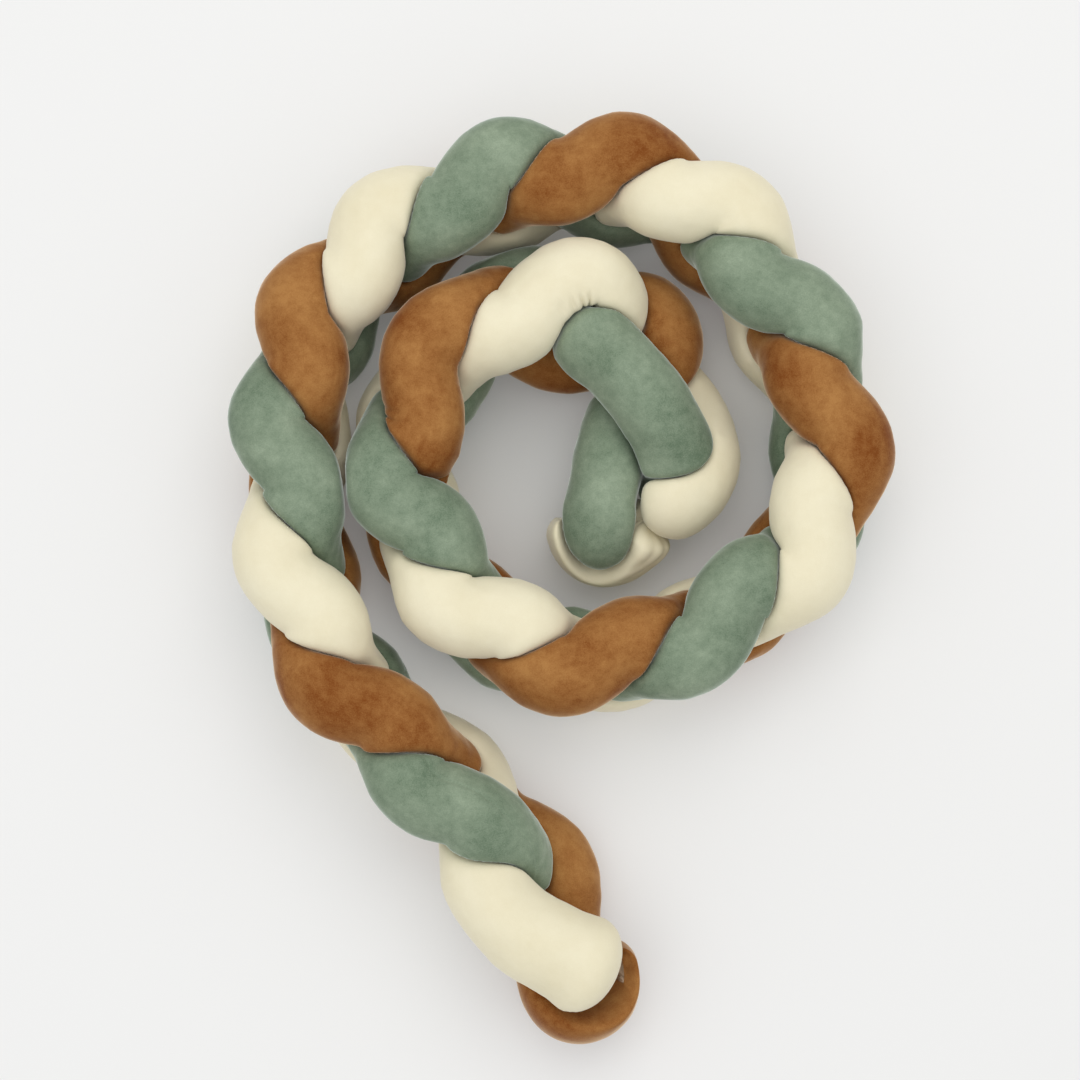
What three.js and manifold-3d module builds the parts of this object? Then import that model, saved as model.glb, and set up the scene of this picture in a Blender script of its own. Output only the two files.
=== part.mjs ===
// A braided crib bumper: three stuffed velvet tubes plaited as a flat braid.
// The braid stands on one edge and is wound in a flat spiral, with a free tail in front
// and its other end lying over in the middle. Millimetres, +Z up, the floor at z = 0.
import * as THREE from 'three';
import Module from 'manifold-3d';

// Driving sizes.
const tubeDiameter = 66; // a stuffed tube that nothing squeezes
const tubeRadius = tubeDiameter / 2;
const restHeight = 0.44 * tubeDiameter; // of the axis of a tube that lies on the floor
const tubeGap = 3.6; // left between the sections of tubes that press together
const cutGap = 0.8; // left where a tube is cut back from its neighbour's facets
const swellLimit = 1.25; // the most that a squeezed section grows where it is free
const squeezeSharpness = 8; // power of the soft minimum that rounds off a squeezed section
const swingSharpness = 0.4; // share of the second wave, which steepens each crossing
const swingBias = 0.3; // share by which the swing is wider at the upper edge than halfway up
const riseSharpness = 0.12; // share of the third wave, which steepens each climb
const bendReach = 14; // along a tube, past which its own axis squeezes a sharp bend
const returnReach = 150; // along a tube, past which it meets itself as a neighbour
const leastReach = 0.5; // of a section along any ray
const openReach = 150; // along a ray that meets no neighbour

const footprintShift = [-6.5, 4.7]; // brings the middle of the footprint to the origin

// Fineness of the solids.
const pointsPerRow = 24; // along the plaited run
const phaseSteps = 72; // round the plait, where its lowest tube is looked for
const spineStep = 6; // between points of a tube's centre line
const ringStep = 18; // between rings along a tube
const endRings = [0, 1, 2, 4, 6]; // spine points with a ring at a tube's end
const sides = 12;
const facetTolerance = 0.2;

// The braid's centre line and stance: a row for each tube that tops the upper edge, from the
// free tail to the middle of the coil. lean is in degrees, and tips the upper edge to the inner
// side; rise is from the braid's axis to the axis of a tube at its edge; swing is sideways.
const braidRows = [
  { x: -15, y: -299, lean: -34, rise: 40, swing: 13 },
  { x: -80, y: -191, lean: -16, rise: 40, swing: 9 },
  { x: -167, y: -114, lean: -6, rise: 40, swing: 10 },
  { x: -219, y: -20, lean: -5, rise: 40, swing: 10 },
  { x: -226, y: 100, lean: -5, rise: 40, swing: 10 },
  { x: -220, y: 203, lean: -5, rise: 40, swing: 10 },
  { x: -161, y: 281, lean: -5, rise: 40, swing: 10 },
  { x: -71, y: 334, lean: -5, rise: 40, swing: 10 },
  { x: 33, y: 352, lean: -5, rise: 40, swing: 10 },
  { x: 129, y: 322, lean: -5, rise: 40, swing: 10 },
  { x: 193, y: 236, lean: -4, rise: 40, swing: 10 },
  { x: 240, y: 136, lean: -5, rise: 40, swing: 10 },
  { x: 222, y: 28, lean: -3, rise: 40, swing: 10 },
  { x: 142, y: -39, lean: -3, rise: 40, swing: 10 },
  { x: 34, y: -78, lean: -3, rise: 40, swing: 10 },
  { x: -62, y: -41, lean: -3, rise: 40, swing: 10 },
  { x: -125, y: 52, lean: 0, rise: 40, swing: 10 },
  { x: -125, y: 152, lean: 5, rise: 40, swing: 12 },
  { x: -12, y: 258, lean: 6, rise: 40, swing: 17 },
  { x: 78, y: 185, lean: 40, rise: 40, swing: 15 },
  { x: 89, y: 67, lean: 66, rise: 40, swing: 15 },
];
const columns = ['x', 'y', 'lean', 'rise', 'swing'];

// A flat end: half its thickness, half its height, and the length over which it fills out.
const flatTailEnd = { halfThick: 6, halfTall: 40, run: 200, rounding: 14 };
const flatCapEnd = { halfThick: 9, halfTall: 32, run: 150, rounding: 14 };
const roundEnd = { rounding: tubeRadius };
const tuckedEnd = { rounding: 20 };
const capStart = { rounding: 40 };
const plumpRun = [60, 170]; // from a tube's tail, where its fuller end thins to the common radius

// The tubes. firstTop is the row where a tube first tops the braid; it is plaited from row
// `from` to row `to`. Its loose ends run through the points [x, y, z] of tail and inner.
const creamTube = {
  name: 'strand_cream', firstTop: 0, from: 0.35, to: 17.95, softening: 6,
  tailRadius: 38.5,
  tailEnd: roundEnd, innerEnd: roundEnd,
  tail: [[48, -353, 78], [31, -343, 84], [-1, -327, 91], [-31, -309, 95]],
  inner: [
    [22, 257, 106], [38, 249, 98], [46, 232, 84], [51, 212, 64], [64, 192, 44], [90, 174, 32],
    [115, 155, 34], [128, 124, 50], [123, 92, 66], [109, 69, 74], [92, 60, 72], [79, 57, 62],
  ],
};
const greenTube = {
  name: 'strand_green', firstTop: 1, from: 0.75, to: 18.35, softening: 2,
  tailEnd: roundEnd, innerEnd: roundEnd,
  tail: [[-33, -283, 36], [-36, -266, 48], [-40, -250, 68], [-46, -236, 88]],
  inner: [
    [36, 198, 100], [60, 174, 112], [82, 149, 110], [98, 121, 96], [106, 93, 70], [111, 67, 44],
    [111, 43, 33],
  ],
};
const brownTube = {
  name: 'strand_brown', firstTop: 2, from: 0.62, to: 17.8, softening: 10,
  tailEnd: flatTailEnd, innerEnd: roundEnd,
  tail: [
    [57, -323, 72], [65, -342, 68], [64, -362, 62], [50, -383, 56], [28, -393, 50],
    [5, -384, 45], [-5, -364, 38], [-3, -337, 31], [5, -307, 29], [9, -280, 29], [3, -253, 29],
    [-12, -235, 29],
  ],
  inner: [
    [-22, 208, 36], [8, 198, 30], [38, 212, 30], [64, 240, 34], [84, 238, 46], [95, 218, 56],
    [92, 191, 62], [80, 172, 62], [72, 160, 60],
  ],
};
// The short end of green tube is pressed on right up to its neighbours.
const greenEndTube = {
  name: 'strand_green_end', softening: 4, tailEnd: tuckedEnd, innerEnd: roundEnd,
  gap: -tubeGap,
  tail: [[72, 150, 52], [56, 126, 60], [45, 96, 70], [40, 61, 72], [38, 31, 62], [37, 9, 50]],
};
// The cream tube's unstuffed end, wrapped round the end of the short green tube.
const creamCap = {
  name: 'cream_cap', softening: 12, tailEnd: capStart, innerEnd: flatCapEnd,
  partOf: 'strand_cream',
  tail: [
    [95, 62, 70], [87, 50, 58], [78, 36, 48], [66, 22, 43], [53, 13, 41], [37, 9, 41],
    [20, 15, 43], [7, 31, 47], [2, 51, 51],
  ],
};
const tubes = [creamTube, greenTube, brownTube, greenEndTube, creamCap];

// Velvet colours of the finished pieces.
const finishes = {
  strand_cream: { color: 0xebe4cd, roughness: 0.9 },
  strand_green: { color: 0x8ca591, roughness: 0.9 },
  strand_brown: { color: 0xa56937, roughness: 0.9 },
  strand_green_end: { color: 0x8ca591, roughness: 0.9 },
};

const up = new THREE.Vector3(0, 0, 1);

// A column of the table, bent so that its curve runs through the rows: each row less a sixth
// of the second difference about it, with straight runs before the first row and after the last.
function sharpenedColumn(name) {
  const rows = braidRows.map((row) => row[name]);
  const last = rows.length - 1;
  const before = (i) => (i > 0 ? rows[i - 1] : 2 * rows[0] - rows[1]);
  const after = (i) => (i < last ? rows[i + 1] : 2 * rows[last] - rows[last - 1]);
  const bent = rows.map((value, i) => value - (before(i) - 2 * value + after(i)) / 6);
  return (i) => {
    if (i < 0) return bent[0] + i * (bent[1] - bent[0]);
    if (i > last) return bent[last] + (i - last) * (bent[last] - bent[last - 1]);
    return bent[i];
  };
}
const control = Object.fromEntries(columns.map((name) => [name, sharpenedColumn(name)]));

// A column's value at row u, by the uniform cubic B-spline of its four nearest controls.
function tableValue(name, u) {
  const i = Math.floor(u);
  const t = u - i;
  const weights = [
    (1 - t) ** 3 / 6,
    (3 * t ** 3 - 6 * t ** 2 + 4) / 6,
    (-3 * t ** 3 + 3 * t ** 2 + 3 * t + 1) / 6,
    t ** 3 / 6,
  ];
  return weights.reduce((sum, weight, k) => sum + weight * control[name](i - 1 + k), 0);
}

// Sideways wave of the plait at phase p: sin 2p, steepened at the crossings by sin 4p and made
// wider near the top by cos p.
function swingWave(p) {
  const wave = Math.sin(2 * p) + swingSharpness * Math.sin(4 * p);
  return wave * (1 + swingBias * Math.cos(p));
}

// Wave of the plait up the braid's width at phase p: cos p, squared off by cos 3p.
function riseWave(p) {
  return (Math.cos(p) - riseSharpness * Math.cos(3 * p)) / (1 - riseSharpness);
}

// The axis of a plaited tube at row u: it circles the braid's leaning centre line once in three
// rows, the rise wave up the braid's width and the swing wave across its thickness. The centre
// line is as high as lets the lowest tube rest on the floor.
function plaitedPoint(firstTop, u) {
  const [x, y, lean, rise, swing] = columns.map((name) => tableValue(name, u));
  const reach = 0.001;
  const ahead = new THREE.Vector3(
    tableValue('x', u + reach) - tableValue('x', u - reach),
    tableValue('y', u + reach) - tableValue('y', u - reach),
    0,
  ).normalize();
  const inward = new THREE.Vector3().crossVectors(ahead, up);
  const tilt = THREE.MathUtils.degToRad(lean);
  const upper = up.clone().multiplyScalar(Math.cos(tilt)).addScaledVector(inward, Math.sin(tilt));
  const outer = up.clone().multiplyScalar(Math.sin(tilt)).addScaledVector(inward, -Math.cos(tilt));
  const phases = Array.from({ length: phaseSteps }, (_, k) => (2 * Math.PI * k) / phaseSteps);
  const heights = phases.map((p) => rise * riseWave(p) * upper.z + swing * swingWave(p) * outer.z);
  const phase = (2 * Math.PI * (u - firstTop)) / 3;
  return new THREE.Vector3(x, y, restHeight - Math.min(...heights))
    .addScaledVector(upper, rise * riseWave(phase))
    .addScaledVector(outer, swing * swingWave(phase));
}

// Points at equal steps along a broken line.
function evenly(line, step) {
  const distance = [0];
  for (let i = 1; i < line.length; i += 1) {
    distance.push(distance[i - 1] + line[i].distanceTo(line[i - 1]));
  }
  const total = distance[distance.length - 1];
  const count = Math.ceil(total / step);
  const points = [];
  let leg = 0;
  for (let k = 0; k <= count; k += 1) {
    const wanted = (total * k) / count;
    while (leg < line.length - 2 && distance[leg + 1] < wanted) leg += 1;
    const share = (wanted - distance[leg]) / (distance[leg + 1] - distance[leg]);
    points.push(line[leg].clone().lerp(line[leg + 1], share));
  }
  return points;
}

// A line with each inner point drawn to the mean of itself and its neighbours, some times over.
function softened(line, passes) {
  let points = line;
  for (let pass = 0; pass < passes; pass += 1) {
    points = points.map((point, i) => {
      if (i === 0 || i === points.length - 1) return point;
      return point.clone().multiplyScalar(2).add(points[i - 1]).add(points[i + 1]).multiplyScalar(0.25);
    });
  }
  return points;
}

// A tube's centre line: its tail points, its plaited run and its inner points, evenly spaced.
function spineOf(tube) {
  const line = tube.tail.map((point) => new THREE.Vector3(...point));
  if (tube.inner) {
    const count = Math.round((tube.to - tube.from) * pointsPerRow);
    for (let k = 0; k <= count; k += 1) {
      line.push(plaitedPoint(tube.firstTop, tube.from + (k * (tube.to - tube.from)) / count));
    }
    line.push(...tube.inner.map((point) => new THREE.Vector3(...point)));
  }
  return softened(evenly(line, spineStep), tube.softening);
}

// A list of numbers with each inner one drawn to the mean of itself and its neighbours.
function eased(values) {
  return values.map((value, i) => {
    if (i === 0 || i === values.length - 1) return value;
    return (values[i - 1] + 2 * value + values[i + 1]) / 4;
  });
}

// Directions along the spine and across it, carried along without twist.
function framesOf(spine) {
  const ahead = spine.map((_, i) => {
    const next = spine[Math.min(i + 1, spine.length - 1)];
    return next.clone().sub(spine[Math.max(i - 1, 0)]).normalize();
  });
  let across = up.clone();
  return spine.map((_, i) => {
    across = across.clone().addScaledVector(ahead[i], -across.dot(ahead[i])).normalize();
    return { ahead: ahead[i], across, beside: ahead[i].clone().cross(across) };
  });
}

// How far a round end has closed at a distance from its tip: a quarter circle's height.
function endRounding(distance, rounding) {
  const tip = 0.02;
  const share = Math.min(distance / rounding, 1);
  return Math.max(Math.sqrt(1 - (1 - share) ** 2), tip);
}

// Half the width and half the height of a tube's free section at each spine point. A flat end
// keeps a share of its height right up to the cut edge.
function sectionsOf(tube, spine) {
  const cutEdge = 0.6;
  const step = spine[1].distanceTo(spine[0]);
  return spine.map((_, i) => {
    const plump = (tube.tailRadius ?? tubeRadius) - tubeRadius;
    const radius = tubeRadius + plump * (1 - THREE.MathUtils.smoothstep(i * step, ...plumpRun));
    const section = { wide: radius, tall: radius };
    const ends = [[tube.tailEnd, i * step], [tube.innerEnd, (spine.length - 1 - i) * step]];
    ends.forEach(([end, distance]) => {
      const rounded = endRounding(distance, end.rounding);
      if (!end.run) {
        section.wide *= rounded;
        section.tall *= rounded;
        return;
      }
      const filled = THREE.MathUtils.smoothstep(distance, 0, end.run);
      section.wide = THREE.MathUtils.lerp(end.halfThick, section.wide, filled) * rounded;
      section.tall = THREE.MathUtils.lerp(end.halfTall, section.tall, filled)
        * THREE.MathUtils.lerp(cutEdge, 1, rounded);
    });
    return section;
  });
}

// How far a ray from one tube's axis may run before it meets a neighbouring axis point's share
// of the space: the radical plane of the two sections, less half the gap.
function reachToNeighbour(ray, toOther, own, other, gap) {
  const facing = ray.dot(toOther);
  if (facing < 1e-6) return Infinity;
  const squared = Math.max(toOther.lengthSq(), 1);
  return ((squared + own ** 2 - other ** 2) / 2 - (gap / 2) * Math.sqrt(squared)) / facing;
}

// The neighbours that can squeeze a tube at one spine point: the other pieces' axis points, and
// its own where the tube comes back or bends sharply.
function neighboursOf(body, bodies, i) {
  const here = body.spine[i];
  const sight = 1.3 * tubeDiameter;
  const found = [];
  bodies.forEach((other) => {
    if (other !== body && other.piece === body.piece) return;
    other.spine.forEach((point, k) => {
      const apart = other === body ? Math.abs(k - i) * spineStep : Infinity;
      if (apart <= bendReach || here.distanceToSquared(point) > sight ** 2) return;
      found.push({
        toOther: point.clone().sub(here),
        wide: other.sections[k].wide,
        gap: apart > returnReach ? body.gap : 0,
      });
    });
  });
  return found;
}

// Limits of a ring's rays, eased along the tube and round it so that squeezed parts stay smooth.
function easedLimits(limits) {
  const passes = 2;
  const cap = 1.3 * tubeRadius;
  let kept = limits;
  for (let pass = 0; pass < passes; pass += 1) {
    const round = kept.map((ring) => ring.map((_, k) => {
      const near = [k + sides - 1, k, k, k + 1].map((j) => Math.min(ring[j % sides], cap));
      return near.reduce((sum, value) => sum + value, 0) / near.length;
    }));
    const along = round.map((ring, i) => {
      const before = round[i - 1] ?? ring;
      const after = round[i + 1] ?? ring;
      return ring.map((value, k) => (before[k] + 2 * value + after[k]) / 4);
    });
    kept = kept.map((ring, i) => ring.map((value, k) => Math.min(value, along[i][k])));
  }
  return kept;
}

// A ring's outline: the free section, grown by `swell`, met softly by the ray limits.
function outline(body, i, swell, margin = 0) {
  const power = -squeezeSharpness;
  return body.rays[i].map((ray, k) => {
    const free = swell * body.free[i][k];
    const reach = (free ** power + body.limits[i][k] ** power) ** (1 / power);
    return body.spine[i].clone().addScaledVector(ray, reach + margin);
  });
}

// Length round a closed outline.
function girth(points) {
  return points.reduce((sum, point, k) => sum + point.distanceTo(points[(k + 1) % points.length]), 0);
}

// The swell of each section: where it is free it grows, up to the cloth's own girth, which is
// Ramanujan's length round the free ellipse.
function swellOf(body) {
  const passes = 2;
  const easings = 6;
  const leastGrowth = 0.9;
  let swell = body.spine.map(() => 1);
  const facets = (Math.PI / sides) / Math.sin(Math.PI / sides);
  for (let pass = 0; pass < passes; pass += 1) {
    let growth = body.spine.map((_, i) => {
      const { wide, tall } = body.sections[i];
      const cloth = Math.PI * (3 * (wide + tall) - Math.sqrt((3 * wide + tall) * (wide + 3 * tall)));
      const skinLength = girth(outline(body, i, swell[i])) * facets;
      return THREE.MathUtils.clamp(cloth / skinLength, leastGrowth, swellLimit);
    });
    for (let easing = 0; easing < easings; easing += 1) growth = eased(growth);
    swell = swell.map((value, i) => THREE.MathUtils.clamp(value * growth[i], 1, swellLimit));
  }
  return swell;
}

// The spine points that get a ring: close together at both ends, a ring step apart between.
function ringPlaces(count) {
  const places = new Set();
  endRings.forEach((k) => places.add(k).add(count - 1 - k));
  const first = endRings[endRings.length - 1];
  const steps = Math.round(((count - 1 - 2 * first) * spineStep) / ringStep);
  for (let k = 0; k <= steps; k += 1) {
    places.add(first + Math.round((k * (count - 1 - 2 * first)) / steps));
  }
  return [...places].sort((a, b) => a - b);
}

// One closed skin over the rings, with a point at each end. What would reach below the floor
// lies flat on it. A skin with a margin is only a cutter, so it goes as far below the floor.
function skin(body, margin = 0) {
  const swell = swellOf(body);
  const places = ringPlaces(body.spine.length);
  const points = places.flatMap((i) => outline(body, i, swell[i], margin));
  points.forEach((point) => point.setZ(Math.max(point.z, -margin)));
  const startTip = points.push(body.spine[0]) - 1;
  const endTip = points.push(body.spine[body.spine.length - 1]) - 1;
  const faces = [];
  for (let k = 0; k < sides; k += 1) {
    const next = (k + 1) % sides;
    faces.push(startTip, next, k);
    for (let ring = 0; ring < places.length - 1; ring += 1) {
      const near = ring * sides;
      const far = near + sides;
      faces.push(near + k, near + next, far + next, near + k, far + next, far + k);
    }
    const lastRing = (places.length - 1) * sides;
    faces.push(endTip, lastRing + k, lastRing + next);
  }
  const geometry = new THREE.BufferGeometry();
  const positions = points.flatMap((point) => point.toArray());
  geometry.setAttribute('position', new THREE.Float32BufferAttribute(positions, 3));
  geometry.setIndex(faces);
  return geometry;
}

const wasm = await Module();
wasm.setup();

// A closed skin as a solid that can be joined and cut.
function solidOf(geometry) {
  return new wasm.Manifold(new wasm.Mesh({
    numProp: 3,
    vertProperties: new Float32Array(geometry.getAttribute('position').array),
    triVerts: new Uint32Array(geometry.getIndex().array),
  }));
}

// A solid's skin, with its smallest facets merged away.
function geometryOf(solid) {
  const mesh = solid.simplify(facetTolerance).getMesh();
  const geometry = new THREE.BufferGeometry();
  geometry.setAttribute('position', new THREE.BufferAttribute(mesh.vertProperties, 3));
  geometry.setIndex(new THREE.BufferAttribute(mesh.triVerts, 1));
  return geometry;
}

const bodies = tubes.map((tube) => {
  const spine = spineOf(tube);
  const frames = framesOf(spine);
  const sections = sectionsOf(tube, spine);
  const rays = frames.map(({ across, beside }) => Array.from({ length: sides }, (_, k) => {
    const angle = (2 * Math.PI * k) / sides;
    return across.clone().multiplyScalar(Math.cos(angle)).addScaledVector(beside, Math.sin(angle));
  }));
  // the free section's reach along each ray: an ellipse whose height lies as upright as it can
  const free = rays.map((ring, i) => {
    const { wide, tall } = sections[i];
    const upright = up.clone().addScaledVector(frames[i].ahead, -frames[i].ahead.z).normalize();
    return ring.map((ray) => {
      const rising = ray.dot(upright);
      return 1 / Math.sqrt((1 - rising ** 2) / wide ** 2 + (rising / tall) ** 2);
    });
  });
  const piece = tube.partOf ?? tube.name;
  return { piece, spine, sections, rays, free, gap: tube.gap ?? tubeGap };
});
bodies.forEach((body) => {
  body.limits = easedLimits(body.spine.map((_, i) => {
    const near = neighboursOf(body, bodies, i);
    const own = body.sections[i].wide;
    return body.rays[i].map((ray) => {
      const reaches = near.map(({ toOther, wide, gap }) => reachToNeighbour(ray, toOther, own, wide, gap));
      return Math.max(Math.min(openReach, ...reaches), leastReach);
    });
  }));
});

// The cream tube is one piece with its cap. Each tube is cut back from the ones before it: the
// green from the cream, the brown from both, and the short green end from all of them.
const [cream, green, brown, greenEnd, cap] = bodies.map((body) => solidOf(skin(body)));
const [creamCut, greenCut, brownCut, , capCut] = bodies.map((body) => solidOf(skin(body, cutGap)));
const solids = {
  strand_cream: cream.add(cap),
  strand_green: green.subtract(creamCut),
  strand_brown: brown.subtract(creamCut).subtract(greenCut),
  strand_green_end: greenEnd.subtract(creamCut).subtract(greenCut).subtract(brownCut).subtract(capCut),
};

const bumper = new THREE.Group();
Object.entries(finishes).forEach(([name, finish]) => {
  const material = new THREE.MeshStandardMaterial({ ...finish, metalness: 0 });
  const mesh = new THREE.Mesh(geometryOf(solids[name]), material);
  mesh.name = name;
  bumper.add(mesh);
});
bumper.position.set(...footprintShift, 0);

export default bumper;
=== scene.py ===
import math

import bpy
import numpy as np
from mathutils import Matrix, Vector


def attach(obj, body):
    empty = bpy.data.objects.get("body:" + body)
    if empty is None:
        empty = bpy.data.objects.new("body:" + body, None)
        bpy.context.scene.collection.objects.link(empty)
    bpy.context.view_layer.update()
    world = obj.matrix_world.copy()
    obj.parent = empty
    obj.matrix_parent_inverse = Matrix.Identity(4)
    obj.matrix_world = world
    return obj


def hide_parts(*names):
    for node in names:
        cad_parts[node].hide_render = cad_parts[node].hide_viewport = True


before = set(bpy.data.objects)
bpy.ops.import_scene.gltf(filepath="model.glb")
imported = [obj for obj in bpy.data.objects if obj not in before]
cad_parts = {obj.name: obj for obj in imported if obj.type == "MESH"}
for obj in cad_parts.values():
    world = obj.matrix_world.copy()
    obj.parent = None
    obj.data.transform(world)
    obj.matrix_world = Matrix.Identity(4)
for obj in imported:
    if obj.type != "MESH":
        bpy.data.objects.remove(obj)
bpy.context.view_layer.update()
print("stage: frame loaded")

metre = 0.001  # of a millimetre
footprintShift = np.array([-6.5, 4.7, 0.0])
tubeRadius = 33.0

# What every stuffed tube shares.
stuffing = {
    "restHeight": 0.44 * 2 * tubeRadius,  # of the axis of a tube that lies on the floor
    "gap": 0.5,  # left between tubes that press together
    "squeezeSharpness": 9.0,  # power of the soft minimum that rounds off a squeezed section
    "floorSharpness": 9.0,
    "swellLimit": 1.25,
    "swingSharpness": 0.4,  # share of the second wave, which steepens each crossing
    "swingBias": 0.3,  # share by which the swing is wider at the upper edge than halfway up
    "riseSharpness": 0.12,  # share of the third wave, which steepens each climb
    "bendReach": 14.0,  # along a tube, past which its own axis squeezes a sharp bend
    "returnReach": 150.0,  # along a tube, past which it meets itself as a neighbour
    "sight": 2.6 * tubeRadius,  # past which a neighbour can't press
    "openReach": 150.0,  # of a ray that nothing stops
    "leastReach": 0.5,
    "leastSkin": 0.05,
    "looseShare": 1.3,  # of the free section, past which a limit doesn't press
    "shrinkLimit": 0.9,
    "plumpRun": (60, 170),  # from a tube's tail, where its fuller end thins to the common radius
    "leastSection": 0.004,  # share of the section that is left at the very tip
    "flatTipHeight": 0.6,  # share of a flat end's height that its tip keeps
}
fineness = {
    "pointsPerRow": 24,
    "routeStep": 6.0,  # between points of the route while it is softened
    "ringStep": 2.5,
    "endRings": 14,  # round each tip
    "columns": 76,  # round a tube, before those that line the seam
    "seamColumns": (1.0, 2.0),  # millimetres to each side of the seam
    "turnSamples": 72,  # of one turn of the plait, to find how low it hangs
    "fineStep": 2.0,  # between points of the finished route
    "jointPasses": 6,  # that round off the joints of the coarse route
    "calmPasses": 22,  # that soften a calm run of a route still further
    "easingPasses": 3,  # that smooth the limits of a tube
    "swellPasses": 60,  # that smooth the swell along a tube
    "bendPasses": 12,  # that smooth the bend along a tube
    "tightCrowding": 1.6,  # share by which rings crowd where a bend gathers most
}

# The braid's centre line and stance: a row for each tube that tops the upper edge. lean is in
# degrees; rise is from the braid's axis to a tube's at its edge; swing is sideways.
braidColumns = ("x", "y", "lean", "rise", "swing")
braidRows = np.array([
    (-15, -299, -34, 40, 13),
    (-80, -191, -16, 40, 9),
    (-167, -114, -6, 40, 10),
    (-219, -20, -5, 40, 10),
    (-226, 100, -5, 40, 10),
    (-220, 203, -5, 40, 10),
    (-161, 281, -5, 40, 10),
    (-71, 334, -5, 40, 10),
    (33, 352, -5, 40, 10),
    (129, 322, -5, 40, 10),
    (193, 236, -4, 40, 10),
    (240, 136, -5, 40, 10),
    (222, 28, -3, 40, 10),
    (142, -39, -3, 40, 10),
    (34, -78, -3, 40, 10),
    (-62, -41, -3, 40, 10),
    (-125, 52, 0, 40, 10),
    (-125, 152, 5, 40, 12),
    (-12, 258, 6, 40, 17),
    (78, 185, 40, 40, 15),
    (89, 67, 66, 40, 15),
], float)

roundEnd = {"rounding": tubeRadius}
tuckedEnd = {"rounding": 20.0}
taperedEnd = {"rounding": 54.0}

# Each tube's route: it first tops the braid at row firstTop and is plaited from row `first` to
# row `last`, and its loose ends run through the points (x, y, z) of tail and inner. tight lists
# where a bend gathers most: how far from the inner end, and over what length. calmRun is the
# length from the tail over which the route has no sharp bend.
creamTube = {
    "name": "stuffedCreamTube", "node": "strand_cream", "slot": "cream_velvet",
    "firstTop": 0, "first": 0.35, "last": 17.95, "softening": 6, "tailRadius": 38.5,
    "tailEnd": roundEnd, "innerEnd": roundEnd,
    "tail": [(50, -349, 78), (32, -340, 84), (-1, -326, 91), (-31, -309, 95)],
    "inner": [
        (22, 257, 106), (38, 249, 98), (46, 232, 84), (51, 212, 64), (64, 192, 44),
        (90, 174, 32), (115, 155, 34), (128, 124, 50), (123, 92, 66), (109, 69, 74),
        (92, 60, 72), (79, 57, 62),
    ],
    "tight": [(288, 34), (45, 26)], "calmRun": 240,
    "seam": [(0.0, 180), (1.0, 180)],
}
greenTube = {
    "name": "stuffedGreenTube", "node": "strand_green", "slot": "green_velvet",
    "firstTop": 1, "first": 0.75, "last": 18.35, "softening": 2,
    "tailEnd": roundEnd, "innerEnd": roundEnd,
    "tail": [(-33, -283, 36), (-36, -266, 48), (-40, -250, 68), (-46, -236, 88)],
    "inner": [
        (36, 198, 100), (60, 174, 112), (82, 149, 110), (98, 121, 96), (106, 93, 70),
        (111, 67, 44), (111, 43, 33),
    ],
    "seam": [(0.0, 30), (0.09, 30), (0.14, 180), (1.0, 180)],
}
brownTube = {
    "name": "stuffedBrownTube", "node": "strand_brown", "slot": "brown_velvet",
    "firstTop": 2, "first": 0.62, "last": 17.8, "softening": 10,
    "tailEnd": {"halfThick": 10, "halfTall": 40, "run": 200, "rounding": 14},
    "innerEnd": roundEnd,
    "tail": [
        (55, -323, 72), (62, -342, 68), (61, -361, 62), (49, -381, 56), (28, -391, 50),
        (5, -382, 45), (-5, -363, 38), (-3, -337, 31), (5, -307, 29), (9, -280, 29),
        (3, -253, 29), (-12, -235, 29),
    ],
    "inner": [
        (-22, 208, 36), (8, 198, 30), (38, 212, 30), (64, 240, 34), (84, 238, 46),
        (95, 218, 56), (92, 191, 62), (80, 172, 62), (72, 160, 60),
    ],
    "tight": [(72, 34), (470, 60)],
    "seam": [(0.0, 180), (1.0, 180)],
}
greenEndTube = {
    "name": "shortGreenEnd", "node": "strand_green_end", "slot": "green_velvet",
    "softening": 4, "tailEnd": tuckedEnd, "innerEnd": taperedEnd,
    "tail": [
        (72, 150, 52), (57, 126, 60), (49, 96, 70), (44, 61, 72), (40, 31, 62), (36, 8, 50),
    ],
    "seam": [(0.0, 180), (1.0, 180)],
}
# The cream tube's unstuffed end, wrapped round the end of the short green tube.
creamCap = {
    "name": "creamEndWrap", "node": "strand_cream", "slot": "cream_velvet",
    "softening": 12, "tailEnd": {"rounding": 40.0},
    "innerEnd": {"halfThick": 12, "halfTall": 32, "run": 150, "rounding": 14},
    "tail": [
        (88, 60, 70), (78, 48, 58), (71, 34, 48), (62, 22, 43), (51, 13, 41), (37, 9, 41),
        (20, 15, 43), (7, 31, 47), (2, 51, 51),
    ],
    "pleats": [(115, 42)],
    "seam": [(0.0, 180), (1.0, 180)],
}
tubes = [creamTube, greenTube, brownTube, greenEndTube, creamCap]


# A table column at rows u: a uniform cubic B-spline whose controls are each row less a sixth of
# the second difference about it, run on straight past both ends.
def columnAt(name, u):
    rows = braidRows[:, braidColumns.index(name)]
    before = np.concatenate([[2 * rows[0] - rows[1]], rows[:-1]])
    after = np.concatenate([rows[1:], [2 * rows[-1] - rows[-2]]])
    bent = rows - (before - 2 * rows + after) / 6
    spare = np.arange(1, 4)
    lead = bent[0] - spare[::-1] * (bent[1] - bent[0])
    trail = bent[-1] + spare * (bent[-1] - bent[-2])
    control = np.concatenate([lead, bent, trail])
    i = np.floor(u).astype(int)
    t = u - i
    weights = (
        (1 - t) ** 3 / 6,
        (3 * t**3 - 6 * t**2 + 4) / 6,
        (-3 * t**3 + 3 * t**2 + 3 * t + 1) / 6,
        t**3 / 6,
    )
    return sum(weight * control[i - 1 + k + len(spare)] for k, weight in enumerate(weights))


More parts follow.
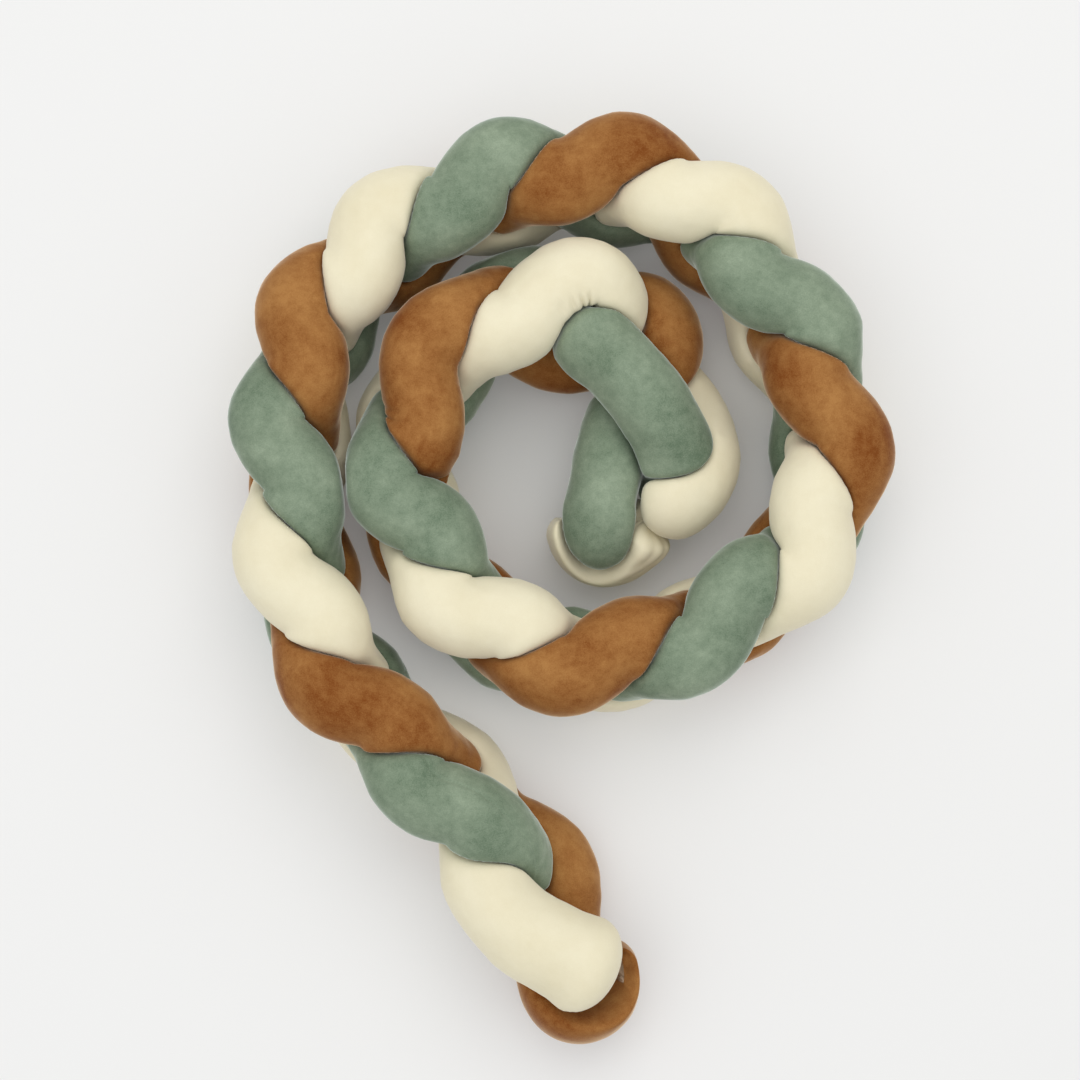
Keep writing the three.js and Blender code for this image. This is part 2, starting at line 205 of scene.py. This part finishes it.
# Sideways wave of the plait at phase p: sin 2p, steepened at the crossings by sin 4p and made
# wider near the top by cos p.
def swingWave(p):
    wave = np.sin(2 * p) + stuffing["swingSharpness"] * np.sin(4 * p)
    return wave * (1 + stuffing["swingBias"] * np.cos(p))


# Wave of the plait up the braid's width at phase p: cos p, squared off by cos 3p.
def riseWave(p):
    share = stuffing["riseSharpness"]
    return (np.cos(p) - share * np.cos(3 * p)) / (1 - share)


# Axis of a plaited tube at rows u: it circles the leaning centre line once in three rows, the
# rise wave up the braid's width and the swing wave across it. The centre line is as high as lets
# the lowest tube rest on the floor.
def plaitedPath(firstTop, u):
    x, y, lean, rise, swing = (columnAt(name, u) for name in braidColumns)
    reach = 0.001
    ahead = np.stack([
        columnAt("x", u + reach) - columnAt("x", u - reach),
        columnAt("y", u + reach) - columnAt("y", u - reach),
    ], axis=1)
    ahead /= np.linalg.norm(ahead, axis=1, keepdims=True)
    level = np.zeros_like(x)
    inward = np.stack([ahead[:, 1], -ahead[:, 0], level], axis=1)
    up = np.array([0.0, 0.0, 1.0])
    tilt = np.radians(lean)[:, None]
    upper = np.cos(tilt) * up + np.sin(tilt) * inward
    outer = np.sin(tilt) * up - np.cos(tilt) * inward
    turn = np.linspace(0, 2 * np.pi, fineness["turnSamples"], endpoint=False)
    heights = np.outer(rise * upper[:, 2], riseWave(turn))
    heights += np.outer(swing * outer[:, 2], swingWave(turn))
    phase = 2 * np.pi * (u - firstTop) / 3
    centre = np.stack([x, y, stuffing["restHeight"] - heights.min(axis=1)], axis=1)
    along = (rise * riseWave(phase))[:, None] * upper
    return centre + along + (swing * swingWave(phase))[:, None] * outer


# Distance along a line of points, from its start.
def arcOf(line):
    steps = np.linalg.norm(np.diff(line, axis=0), axis=1)
    return np.concatenate([[0.0], np.cumsum(steps)])


# A line's points at the given distances along it.
def pointsAt(line, distances):
    arc = arcOf(line)
    return np.stack([np.interp(distances, arc, line[:, k]) for k in range(3)], axis=1)


# A line with each inner point drawn to a quarter, a half and a quarter of its neighbours and
# itself, some times over.
def softened(line, passes):
    line = line.copy()
    for _ in range(passes):
        line[1:-1] = (line[:-2] + 2 * line[1:-1] + line[2:]) / 4
    return line


# A tube's centre line at an even fine step: its loose points and plaited run, softened as the
# solids are, then made fine and rounded at the joints of the coarse line.
def routeOf(tube):
    line = [np.array(tube["tail"], float)]
    if "inner" in tube:
        count = round((tube["last"] - tube["first"]) * fineness["pointsPerRow"])
        u = np.linspace(tube["first"], tube["last"], count + 1)
        line.append(plaitedPath(tube["firstTop"], u))
        line.append(np.array(tube["inner"], float))
    line = np.vstack(line)
    length = arcOf(line)[-1]
    line = pointsAt(line, np.linspace(0, length, math.ceil(length / fineness["routeStep"]) + 1))
    line = softened(line, tube["softening"])
    calm = round(tube.get("calmRun", 0) / fineness["routeStep"])
    line[:calm] = softened(line[:calm], fineness["calmPasses"])
    length = arcOf(line)[-1]
    fine = pointsAt(line, np.linspace(0, length, round(length / fineness["fineStep"]) + 1))
    return softened(fine, fineness["jointPasses"])


# How much a marked kind of folding shows at distances along a tube: a bell about each mark.
def markedShare(tube, kindOfFold, places, length):
    share = np.zeros(len(places))
    for place, spread in tube.get(kindOfFold, []):
        share = np.maximum(share, np.exp(-(((length - places - place) / spread) ** 2)))
    return share


# Places of the rings along a tube: on a quarter circle's spacing at both tips, and between them
# even but for the crowding at tight gathers.
def ringPlaces(tube, length):
    turn = 1 - np.cos(np.linspace(0, np.pi / 2, fineness["endRings"]))
    start = tube["tailEnd"]["rounding"] * turn
    end = length - tube["innerEnd"]["rounding"] * turn[::-1]
    even = np.linspace(start[-1], end[0], round(end[0] - start[-1]) + 1)
    crowd = 1 + fineness["tightCrowding"] * markedShare(tube, "tight", even, length)
    counted = np.concatenate([[0], np.cumsum((crowd[1:] + crowd[:-1]) / 2 * np.diff(even))])
    count = round(counted[-1] / fineness["ringStep"])
    middle = np.interp(np.linspace(0, counted[-1], count + 1)[1:-1], counted, even)
    return np.concatenate([start, middle, end])


# Angles of a ring's columns from the seam: even all round, with close ones beside the seam.
def columnAngles():
    even = np.linspace(0, 2 * np.pi, fineness["columns"], endpoint=False)
    close = np.array(fineness["seamColumns"]) / tubeRadius
    return np.sort(np.concatenate([even, close, 2 * np.pi - close]))


# A smooth step from 0 at low to 1 at high: three squares of the share less two cubes.
def smoothStep(value, low, high):
    share = np.clip((value - low) / (high - low), 0, 1)
    return share * share * (3 - 2 * share)


# Half width and half height of the free section at distances along a tube: the full radius,
# closed at round tips by a quarter circle, and flattened over the run of a flat end.
def sectionsAt(tube, places, length):
    plump = tube.get("tailRadius", tubeRadius) - tubeRadius
    wide = tubeRadius + plump * (1 - smoothStep(places, *stuffing["plumpRun"]))
    tall = wide.copy()
    kept = stuffing["flatTipHeight"]
    for end, distance in ((tube["tailEnd"], places), (tube["innerEnd"], length - places)):
        share = np.clip(distance / end["rounding"], 0, 1)
        closed = np.maximum(np.sqrt(1 - (1 - share) ** 2), stuffing["leastSection"])
        if "run" in end:
            filled = smoothStep(distance, 0, end["run"])
            wide = end["halfThick"] + (wide - end["halfThick"]) * filled
            tall = end["halfTall"] + (tall - end["halfTall"]) * filled
            tall = tall * (kept + (1 - kept) * closed)
        else:
            tall = tall * closed
        wide = wide * closed
    return wide, tall


# Sum of seeded sine waves through space, about -1 to 1, with waves of the given lengths.
def softNoise(points, seed, shortest, longest, waves=14):
    random = np.random.default_rng(seed)
    total = np.zeros(points.shape[:-1])
    for _ in range(waves):
        direction = random.normal(size=3)
        direction /= np.linalg.norm(direction)
        waveLength = random.uniform(shortest, longest)
        phase = random.uniform(0, 2 * np.pi)
        total += np.sin(points @ direction * (2 * np.pi / waveLength) + phase)
    fullStrength = 1.5  # standard deviations of the sum
    return total * math.sqrt(2 / waves) / fullStrength


# Everything known of a tube before its neighbours squeeze it: rings, directions and sections.
def looseTube(tube):
    route = routeOf(tube)
    length = arcOf(route)[-1]
    places = ringPlaces(tube, length)
    spine = pointsAt(route, places)
    probe = 2.0
    after = pointsAt(route, np.minimum(places + probe, length))
    ahead = after - pointsAt(route, np.maximum(places - probe, 0))
    ahead /= np.linalg.norm(ahead, axis=1, keepdims=True)
    upright = np.array([0.0, 0.0, 1.0]) - ahead * ahead[:, 2:3]
    upright /= np.linalg.norm(upright, axis=1, keepdims=True)
    beside = np.cross(ahead, upright)
    seamShares, seamDegrees = np.array(tube["seam"], float).T
    seamAngle = np.radians(np.interp(places / length, seamShares, seamDegrees))
    angle = seamAngle[:, None] + columnAngles()[None, :]
    rays = np.cos(angle)[..., None] * upright[:, None]
    rays += np.sin(angle)[..., None] * beside[:, None]
    wide, tall = sectionsAt(tube, places, length)
    rising = np.cos(angle)
    free = 1 / np.sqrt((1 - rising**2) / wide[:, None] ** 2 + (rising / tall[:, None]) ** 2)
    return {
        "tube": tube, "route": route, "length": length, "places": places, "spine": spine,
        "ahead": ahead, "rays": rays, "wide": wide, "tall": tall, "free": free,
        "routeWide": sectionsAt(tube, arcOf(route), length)[0],
    }


# How far each ray of each ring may run: to the radical plane between its own section and each
# neighbour's, less half the gap, and to the floor.
def reachLimits(body, bodies):
    limits = np.full(body["free"].shape, stuffing["openReach"])
    others = [other for other in bodies if other["tube"]["node"] != body["tube"]["node"]]
    otherPoints = np.vstack([other["route"] for other in others])
    otherWide = np.concatenate([other["routeWide"] for other in others])
    ownArc = arcOf(body["route"])
    for i, here in enumerate(body["spine"]):
        toOther = otherPoints - here
        squared = (toOther**2).sum(axis=1)
        seen = squared < stuffing["sight"] ** 2
        toOwn = body["route"] - here
        ownSquared = (toOwn**2).sum(axis=1)
        apart = np.abs(ownArc - body["places"][i])
        ownSeen = (ownSquared < stuffing["sight"] ** 2) & (apart > stuffing["bendReach"])
        ownGap = np.where(apart[ownSeen] > stuffing["returnReach"], stuffing["gap"], 0.0)
        toward = np.vstack([toOther[seen], toOwn[ownSeen]])
        if len(toward) == 0:
            continue
        squared = np.maximum(np.concatenate([squared[seen], ownSquared[ownSeen]]), 1.0)
        width = np.concatenate([otherWide[seen], body["routeWide"][ownSeen]])
        gap = np.concatenate([np.full(seen.sum(), stuffing["gap"]), ownGap])
        share = (squared + body["wide"][i] ** 2 - width**2) / 2 - gap / 2 * np.sqrt(squared)
        facing = body["rays"][i] @ toward.T
        reach = np.where(facing > 1e-6, share / np.maximum(facing, 1e-6), stuffing["openReach"])
        limits[i] = np.minimum(limits[i], reach.min(axis=1))
    return np.maximum(limits, stuffing["leastReach"])


# Limits eased along the tube and round it, so that squeezed parts stay smooth: the least of
# each limit and the mean about it, both as shares of the free section.
def easedLimits(limits, free):
    share = limits / free
    for _ in range(fineness["easingPasses"]):
        near = np.minimum(share, stuffing["looseShare"])
        near = (np.roll(near, 1, axis=1) + 2 * near + np.roll(near, -1, axis=1)) / 4
        near[1:-1] = (near[:-2] + 2 * near[1:-1] + near[2:]) / 4
        share = np.minimum(share, near)
    return share * free


# Reach of the skin along each ray: the free section, grown by the swell, met softly by the
# limits and then by the floor.
def skinReach(body, swell):
    power = -stuffing["squeezeSharpness"]
    free = swell[:, None] * body["free"]
    reach = (free**power + body["limits"] ** power) ** (1 / power)
    falling = np.maximum(-body["rays"][..., 2], 1e-4)
    toFloor = np.minimum(body["spine"][:, 2:3] / falling, 1e3)
    power = -stuffing["floorSharpness"]
    return (reach**power + toFloor**power) ** (1 / power)


# Swell of each section: where it is free it grows, up to the cloth's own girth, which is
# Ramanujan's length round the free ellipse.
def swellOf(body, passes=2):
    wide, tall = body["wide"], body["tall"]
    full = np.pi * (3 * (wide + tall) - np.sqrt((3 * wide + tall) * (wide + 3 * tall)))
    swell = np.ones(len(wide))
    for _ in range(passes):
        skin = body["rays"] * skinReach(body, swell)[..., None]
        girth = np.linalg.norm(np.roll(skin, -1, axis=1) - skin, axis=2).sum(axis=1)
        growth = np.clip(full / girth, stuffing["shrinkLimit"], stuffing["swellLimit"])
        growth = softened(growth[:, None], fineness["swellPasses"])[:, 0]
        swell = np.clip(swell * growth, 1, stuffing["swellLimit"])
    return swell


# Folds and lumps of the cloth, in millimetres of reach. Each kind of fold across the tube has a
# depth, a wave and a stray, which is how far it wanders from straight, in radians.
cloth = {
    "gatherStart": 0.85, "gatherFull": 1.5,  # of the length lost on a bend's inner side
    "gatherDepth": 2.0, "gatherWave": 15.0, "gatherStray": 1.6,
    "tightStart": -0.1, "tightFull": 0.4,  # cosine from the inner side of the bend
    "tightDepth": 6.5, "tightWave": 12.5, "tightStray": 1.2,
    "pressedStart": 0.3, "pressedFull": 1.0,  # of the length lost
    "pressedDepth": 0.9, "pressedWave": 11.0, "pressedStray": 2.0,
    "rimNearness": 1.08, "rimWidth": 0.10,  # of a limit to the free reach, where cloth puckers
    "freeStart": 0.85, "freeFull": 1.15,  # of a limit to the free reach, where cloth is lumpy
    "pleatDepth": 1.9, "pleatCount": 15, "pleatStray": 0.6,  # folds that run along the tube
    "strayShort": 40.0, "strayLong": 90.0,
    "uneven": 0.35, "unevenShort": 20.0, "unevenLong": 45.0,
    "lumpDepth": 0.8, "lumpShort": 45.0, "lumpLong": 95.0,
    "crumpleDepth": 0.22, "crumpleShort": 12.0, "crumpleLong": 26.0,
    "seamDepth": 0.7, "seamWidth": 1.4,
    "rimMark": 0.5,  # how much a pucker at a rim counts as gathered in the velvet's own bump
}


# Bend of a tube at its rings: the rate at which its direction turns, with a vector's length of
# one over the radius, that points to the inner side.
def bendOf(body):
    step = fineness["fineStep"]
    even = np.arange(0, body["length"], step)
    route = pointsAt(body["route"], even)
    tangent = np.gradient(route, axis=0)
    tangent /= np.linalg.norm(tangent, axis=1, keepdims=True)
    bend = softened(np.gradient(tangent, step, axis=0), fineness["bendPasses"])
    return np.stack([np.interp(body["places"], even, bend[:, k]) for k in range(3)], axis=1)


# Change of reach by gathers, puckers, pleats, lumps and the seam, and how hard the cloth is
# gathered. The inner side of a bend is shortened by its curvature times its reach; past what the
# cloth can take it folds in round crests and sharp valleys across the tube, the absolute value of
# a sine, and it puckers more where a neighbour presses.
def clothRelief(body, reach, seed):
    tube, arc, rays = body["tube"], body["places"], body["rays"]
    skin = body["spine"][:, None] + rays * reach[..., None]
    bend = bendOf(body)
    lost = np.einsum("ik,ijk->ij", bend, rays) * reach
    inward = bend / np.maximum(np.linalg.norm(bend, axis=1, keepdims=True), 1e-6)
    facing = np.einsum("ik,ijk->ij", inward, rays)
    stray = softNoise(skin, seed, cloth["strayShort"], cloth["strayLong"])
    uneven = softNoise(skin, seed + 1, cloth["unevenShort"], cloth["unevenLong"])
    uneven = 1 - cloth["uneven"] + cloth["uneven"] * uneven
    nearness = body["limits"] / np.maximum(body["free"], 0.1)
    rim = np.exp(-(((nearness - cloth["rimNearness"]) / cloth["rimWidth"]) ** 2))

    gathered = smoothStep(lost, cloth["gatherStart"], cloth["gatherFull"])
    tight = markedShare(tube, "tight", arc, body["length"])[:, None]
    tight = tight * smoothStep(facing, cloth["tightStart"], cloth["tightFull"])
    pressed = rim * smoothStep(lost, cloth["pressedStart"], cloth["pressedFull"])
    relief = np.zeros(reach.shape)
    for kindOfFold, share in (("gather", gathered), ("tight", tight), ("pressed", pressed)):
        phase = np.pi * arc[:, None] / cloth[kindOfFold + "Wave"]
        crest = np.abs(np.sin(phase + cloth[kindOfFold + "Stray"] * stray))
        relief -= cloth[kindOfFold + "Depth"] * share * uneven * (1 - crest)

    turn = columnAngles()
    pleated = markedShare(tube, "pleats", arc, body["length"])[:, None]
    crest = np.abs(np.sin(cloth["pleatCount"] / 2 * turn[None, :] + cloth["pleatStray"] * stray))
    relief -= cloth["pleatDepth"] * pleated * (1 - crest)

    full = np.clip(body["wide"] / tubeRadius, 0, 1)[:, None] ** 2
    unpressed = smoothStep(nearness, cloth["freeStart"], cloth["freeFull"])
    lumps = softNoise(skin, seed + 2, cloth["lumpShort"], cloth["lumpLong"])
    relief += full * unpressed * cloth["lumpDepth"] * lumps
    crumple = softNoise(skin, seed + 3, cloth["crumpleShort"], cloth["crumpleLong"])
    relief += full * cloth["crumpleDepth"] * crumple
    fromSeam = np.minimum(turn, 2 * np.pi - turn)[None, :] * reach
    relief -= full * cloth["seamDepth"] * np.exp(-((fromSeam / cloth["seamWidth"]) ** 2))
    gather = np.maximum(gathered, tight) + cloth["rimMark"] * pressed
    return relief, np.clip(gather, 0, 1)


# A closed mesh over rings of columns, with a point at each tip, faces outward. Its UV map runs
# along the tube and round it from the seam, in metres; `gather` is how hard the cloth is puckered.
def tubeMesh(name, rings, tips, along, around, gather):
    ringCount, columnCount = rings.shape[:2]
    i, k = np.meshgrid(np.arange(ringCount - 1), np.arange(columnCount), indexing="ij")
    following = (k + 1) % columnCount
    corner = [i * columnCount + k, i * columnCount + following]
    corner += [(i + 1) * columnCount + following, (i + 1) * columnCount + k]
    quads = np.stack(corner, axis=-1).reshape(-1, 4)
    k = np.arange(columnCount)
    following = (k + 1) % columnCount
    last = (ringCount - 1) * columnCount
    startTip = ringCount * columnCount
    startFan = np.stack([np.full(columnCount, startTip), following, k], axis=1)
    endFan = np.stack([np.full(columnCount, startTip + 1), last + k, last + following], axis=1)
    points = np.vstack([rings.reshape(-1, 3), tips]) + footprintShift
    points[:, 2] = np.maximum(points[:, 2], 0)
    mesh = bpy.data.meshes.new(name)
    faces = quads.tolist() + startFan.tolist() + endFan.tolist()
    mesh.from_pydata((points * metre).tolist(), [], faces)
    # UV of each corner: the column past the last one is the seam again, a full turn on
    alongCorner = np.stack([along[:-1], along[:-1], along[1:], along[1:]], axis=1)
    alongCorner = np.repeat(alongCorner[:, None], columnCount, axis=1)
    turn = np.append(around, 2 * np.pi) * tubeRadius
    turnCorner = np.stack([turn[:-1], turn[1:], turn[1:], turn[:-1]], axis=1)
    turnCorner = np.repeat(turnCorner[None], ringCount - 1, axis=0)
    uv = np.stack([alongCorner, turnCorner], axis=-1).reshape(-1, 2)
    middle = (turn[:-1] + turn[1:]) / 2
    fans = []
    startOrder = (middle, turn[1:], turn[:-1])
    endOrder = (middle, turn[:-1], turn[1:])
    for place, order in ((along[0], startOrder), (along[-1], endOrder)):
        fanTurn = np.stack(order, axis=1)
        fans.append(np.stack([np.full(fanTurn.shape, place), fanTurn], axis=-1).reshape(-1, 2))
    layer = mesh.uv_layers.new(name="clothMap")
    layer.data.foreach_set("uv", (np.vstack([uv, *fans]) * metre).ravel())
    mark = mesh.attributes.new("gather", "FLOAT", "POINT")
    mark.data.foreach_set("value", np.concatenate([gather.ravel(), [0.0, 0.0]]))
    mesh.polygons.foreach_set("use_smooth", [True] * len(faces))
    mesh.update()
    return mesh


# What every velvet shares. Scales are in turns of the texture to a metre.
pile = {
    "roughness": 0.88, "specular": 0.18,
    "patchScale": 15.0,  # brushed patches of the nap, a few centimetres across
    "mottleScale": 120.0,  # mottling, under a centimetre across
    "grainScale": 900.0,  # the pile's own grain, under a millimetre
    "strokeScale": (35.0, 120.0, 1.0),  # along the tube and round it
    "crumpleScale": 70.0,
    "foldScale": 32.0,
    "grainHeight": 0.10, "crumpleHeight": 0.55, "foldHeight": 0.5,
    "bumpStrength": 0.55, "bumpDistance": 0.0012,
}
# The velvets. Colours are linear; patch, stroke, mottle and grain are how far each texture of the
# nap moves the tone from deep to pale.
velvets = {
    "cream_velvet": {
        "name": "creamVelvet", "deep": (0.665, 0.585, 0.385), "pale": (0.83, 0.775, 0.595),
        "sheenTint": (1.0, 0.97, 0.90), "sheen": 0.35, "sheenRoughness": 0.45,
        "patch": 0.66, "stroke": 0.09, "mottle": 0.25, "grain": 0.24,
    },
    "green_velvet": {
        "name": "sageVelvet", "deep": (0.108, 0.155, 0.098), "pale": (0.285, 0.345, 0.245),
        "sheenTint": (0.86, 0.93, 0.87), "sheen": 1.0, "sheenRoughness": 0.28,
        "patch": 1.6, "stroke": 0.25, "mottle": 0.85, "grain": 0.85,
    },
    "brown_velvet": {
        "name": "caramelVelvet", "deep": (0.178, 0.048, 0.005), "pale": (0.375, 0.175, 0.051),
        "sheenTint": (1.0, 0.80, 0.58), "sheen": 0.9, "sheenRoughness": 0.28,
        "patch": 2.05, "stroke": 0.45, "mottle": 0.95, "grain": 0.95,
    },
}


# A velvet's material: the tone runs from deep to pale by the sum of its textures, each less its
# own mean, about a half.
def velvetMaterial(kind):
    material = bpy.data.materials.new(kind["name"])
    material.use_nodes = True
    nodes, links = material.node_tree.nodes, material.node_tree.links
    nodes.clear()

    def node(kindOfNode, **settings):
        made = nodes.new(kindOfNode)
        for key, value in settings.items():
            if key in made.inputs:
                made.inputs[key].default_value = value
            else:
                setattr(made, key, value)
        return made

    place = node("ShaderNodeTexCoord")
    output = node("ShaderNodeOutputMaterial")
    shader = node("ShaderNodeBsdfPrincipled", Roughness=pile["roughness"])
    shader.inputs["Specular IOR Level"].default_value = pile["specular"]
    shader.inputs["Sheen Weight"].default_value = kind["sheen"]
    shader.inputs["Sheen Roughness"].default_value = kind["sheenRoughness"]
    shader.inputs["Sheen Tint"].default_value = (*kind["sheenTint"], 1)
    links.new(shader.outputs["BSDF"], output.inputs["Surface"])

    patch = node("ShaderNodeTexNoise", Scale=pile["patchScale"], Detail=4.0, Roughness=0.5,
                 Distortion=0.3)
    links.new(place.outputs["Object"], patch.inputs["Vector"])
    mottle = node("ShaderNodeTexNoise", Scale=pile["mottleScale"], Detail=5.0, Roughness=0.65)
    links.new(place.outputs["Object"], mottle.inputs["Vector"])
    # short marks along the tube where the pile has been stroked
    stretch = node("ShaderNodeMapping")
    stretch.inputs["Scale"].default_value = pile["strokeScale"]
    links.new(place.outputs["UV"], stretch.inputs["Vector"])
    stroke = node("ShaderNodeTexNoise", Scale=1.0, Detail=3.0, Roughness=0.6, Distortion=0.4)
    links.new(stretch.outputs["Vector"], stroke.inputs["Vector"])
    grain = node("ShaderNodeTexNoise", Scale=pile["grainScale"], Detail=2.0, Roughness=0.7)
    links.new(place.outputs["Object"], grain.inputs["Vector"])

    def weighted(source, weight, offset):
        made = node("ShaderNodeMath", operation="MULTIPLY_ADD")
        links.new(source, made.inputs[0])
        made.inputs[1].default_value = weight
        made.inputs[2].default_value = offset
        return made.outputs[0]

    def added(first, second):
        made = node("ShaderNodeMath", operation="ADD")
        links.new(first, made.inputs[0])
        links.new(second, made.inputs[1])
        return made.outputs[0]

    tone = weighted(patch.outputs["Fac"], kind["patch"], 0.5 - kind["patch"] / 2)
    for texture, name in ((stroke, "stroke"), (mottle, "mottle"), (grain, "grain")):
        tone = added(tone, weighted(texture.outputs["Fac"], kind[name], -kind[name] / 2))
    blend = node("ShaderNodeMix", data_type="RGBA")
    blend.inputs[6].default_value = (*kind["deep"], 1)
    blend.inputs[7].default_value = (*kind["pale"], 1)
    links.new(tone, blend.inputs[0])
    links.new(blend.outputs[2], shader.inputs["Base Color"])

    # bump: grain, soft crumple, and fine puckers across the tube where the cloth is gathered
    crumple = node("ShaderNodeTexNoise", Scale=pile["crumpleScale"], Detail=3.0, Roughness=0.5)
    links.new(place.outputs["Object"], crumple.inputs["Vector"])
    waves = node("ShaderNodeTexWave", wave_type="BANDS", bands_direction="X",
                 Scale=pile["foldScale"], Distortion=3.0, Detail=2.0)
    waves.inputs["Detail Scale"].default_value = 1.5
    links.new(place.outputs["UV"], waves.inputs["Vector"])
    gather = node("ShaderNodeAttribute", attribute_name="gather")
    folded = node("ShaderNodeMath", operation="MULTIPLY")
    links.new(waves.outputs["Fac"], folded.inputs[0])
    links.new(gather.outputs["Fac"], folded.inputs[1])
    height = weighted(grain.outputs["Fac"], pile["grainHeight"], 0.0)
    height = added(height, weighted(crumple.outputs["Fac"], pile["crumpleHeight"], 0.0))
    height = added(height, weighted(folded.outputs[0], pile["foldHeight"], 0.0))
    bump = node("ShaderNodeBump", Strength=pile["bumpStrength"], Distance=pile["bumpDistance"])
    links.new(height, bump.inputs["Height"])
    links.new(bump.outputs["Normal"], shader.inputs["Normal"])
    return material


materials = {slot: velvetMaterial(kind) for slot, kind in velvets.items()}
print("stage: velvets made")

# The pieces: each tube's skin squeezed by its neighbours, then given its cloth's relief. Each has
# seeds of its own for its noises.
firstSeed = 40
seedStep = 10
bodies = [looseTube(tube) for tube in tubes]
print("stage: routes laid,", [round(body["length"]) for body in bodies], "mm long")
for number, body in enumerate(bodies):
    tube = body["tube"]
    body["limits"] = easedLimits(reachLimits(body, bodies), body["free"])
    reach = skinReach(body, swellOf(body))
    relief, gather = clothRelief(body, reach, firstSeed + seedStep * number)
    skin = np.maximum(reach + relief, stuffing["leastSkin"])
    rings = body["spine"][:, None] + body["rays"] * skin[..., None]
    tips = body["spine"][[0, -1]]
    mesh = tubeMesh(tube["name"], rings, tips, body["places"], columnAngles(), gather)
    mesh.materials.append(materials[tube["slot"]])
    piece = bpy.data.objects.new(tube["name"], mesh)
    bpy.context.scene.collection.objects.link(piece)
    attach(piece, "root")
    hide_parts(tube["node"])
    print("stage:", tube["name"], rings.shape[:2])

# The plain floor, large enough to have no edge in view. It glows with painted light that washes
# out its shadows, and the painted light fades inside the coil, where less light falls, to paint
# the shade there darker.
floor = {
    "side": 12.0, "colour": (0.575, 0.57, 0.56), "roughness": 0.9, "specular": 0.1,
    "paintedLightColour": (1.0, 0.985, 0.965), "coilMiddle": (0.0, 0.12, 0.0),
    "fadeStart": 0.19, "fadeEnd": 0.25,  # from the coil's middle
    "paintedLightInsideCoil": 0.09, "paintedLightOutsideCoil": 0.24,
}
half = floor["side"] / 2
floorMesh = bpy.data.meshes.new("paleFloor")
corners = [(-half, -half, 0), (half, -half, 0), (half, half, 0), (-half, half, 0)]
floorMesh.from_pydata(corners, [], [(0, 1, 2, 3)])
paleFloor = bpy.data.objects.new("paleFloor", floorMesh)
bpy.context.scene.collection.objects.link(paleFloor)
floorFinish = bpy.data.materials.new("palePaper")
floorFinish.use_nodes = True
floorNodes, floorLinks = floorFinish.node_tree.nodes, floorFinish.node_tree.links
paper = floorNodes["Principled BSDF"]
paper.inputs["Base Color"].default_value = (*floor["colour"], 1)
paper.inputs["Emission Color"].default_value = (*floor["paintedLightColour"], 1)
paper.inputs["Roughness"].default_value = floor["roughness"]
paper.inputs["Specular IOR Level"].default_value = floor["specular"]
floorPlace = floorNodes.new("ShaderNodeTexCoord")
fromMiddle = floorNodes.new("ShaderNodeVectorMath")
fromMiddle.operation = "DISTANCE"
fromMiddle.inputs[1].default_value = floor["coilMiddle"]
# painted light: the floor's emission lifts it and its shadows, and is weaker inside the coil as
# painted shade
paintedFloorLight = floorNodes.new("ShaderNodeMapRange")
paintedFloorLight.interpolation_type = "SMOOTHSTEP"
paintedFloorLight.inputs["From Min"].default_value = floor["fadeStart"]
paintedFloorLight.inputs["From Max"].default_value = floor["fadeEnd"]
paintedFloorLight.inputs["To Min"].default_value = floor["paintedLightInsideCoil"]
paintedFloorLight.inputs["To Max"].default_value = floor["paintedLightOutsideCoil"]
floorLinks.new(floorPlace.outputs["Object"], fromMiddle.inputs[0])
floorLinks.new(fromMiddle.outputs["Value"], paintedFloorLight.inputs["Value"])
floorLinks.new(paintedFloorLight.outputs["Result"], paper.inputs["Emission Strength"])
floorMesh.materials.append(floorFinish)

# Soft daylight from above the back of the coil, a fill from the front, and an even sky.
lights = [
    {
        "name": "windowLight", "place": (0.4, 1.2, 2.6), "size": 2.0, "power": 22.0,
        "colour": (1.0, 0.985, 0.96),
    },
    {
        "name": "overheadFill", "place": (-0.8, -0.5, 2.9), "size": 2.6, "power": 22.0,
        "colour": (0.95, 0.975, 1.0),
    },
]
skyLight = {"colour": (0.96, 0.98, 1.0), "strength": 0.80}
aim = Vector((0, 0, 0.05))
for light in lights:
    lamp = bpy.data.lights.new(light["name"], "AREA")
    lamp.size = light["size"]
    lamp.energy = light["power"]
    lamp.color = light["colour"]
    holder = bpy.data.objects.new(light["name"], lamp)
    holder.location = light["place"]
    holder.rotation_euler = (aim - Vector(light["place"])).to_track_quat("-Z", "Y").to_euler()
    bpy.context.scene.collection.objects.link(holder)
sky = bpy.data.worlds.new("studioSky")
bpy.context.scene.world = sky
sky.use_nodes = True
background = sky.node_tree.nodes["Background"]
background.inputs["Color"].default_value = (*skyLight["colour"], 1)
background.inputs["Strength"].default_value = skyLight["strength"]
bpy.context.scene.view_settings.view_transform = "Standard"

# The camera looks almost straight down.
cameraPlace = Vector((-0.0195, -0.2533, 2.5989))
cameraAim = Vector((-0.0195, 0.0297, 0.115))
lens = bpy.data.cameras.new("camera")
lens.lens = 96.9
lens.sensor_width = 36.0
camera = bpy.data.objects.new("camera", lens)
camera.location = cameraPlace
camera.rotation_euler = (cameraAim - cameraPlace).to_track_quat("-Z", "Y").to_euler()
bpy.context.scene.collection.objects.link(camera)
bpy.context.scene.camera = camera
print("stage: floor, light and camera set")
